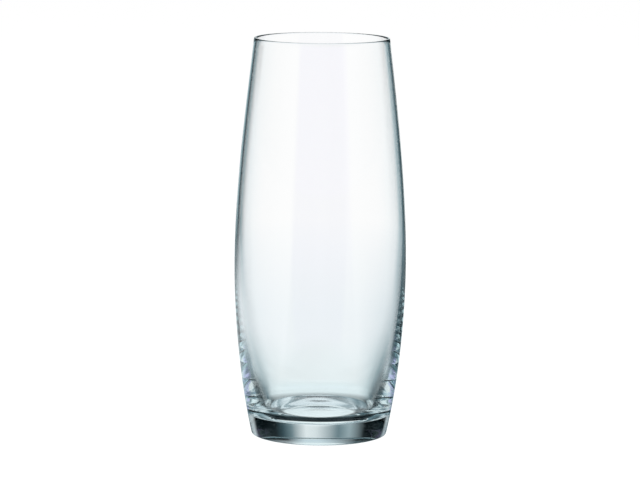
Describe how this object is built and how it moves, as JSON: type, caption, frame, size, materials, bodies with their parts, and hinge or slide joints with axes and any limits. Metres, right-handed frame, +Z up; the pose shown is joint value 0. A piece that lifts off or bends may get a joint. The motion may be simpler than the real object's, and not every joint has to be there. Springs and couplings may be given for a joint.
{
  "type": "tumbler",
  "caption": "Tall clear barrel-shaped drinking tumbler with a thin rounded rim, a wall that thickens downwards and a heavy solid glass base.",
  "frame": {"origin": "on the table, at the middle of the circle that the glass stands on", "axes": "+Z up along the axis of revolution, from the foot to the lip; the glass is round, so X and Y are free, and -Y faces the viewer"},
  "size_m": [0.069, 0.069, 0.16],
  "materials": {
    "base_glass": "clear, polished, pressed",
    "bowl_glass": "clear, polished, blown",
    "rim_glass": "clear, fire-polished"
  },
  "bodies": {
    "root": {"base": "base_glass", "bowl": "bowl_glass", "rim": "rim_glass"}
  },
  "joints": []
}
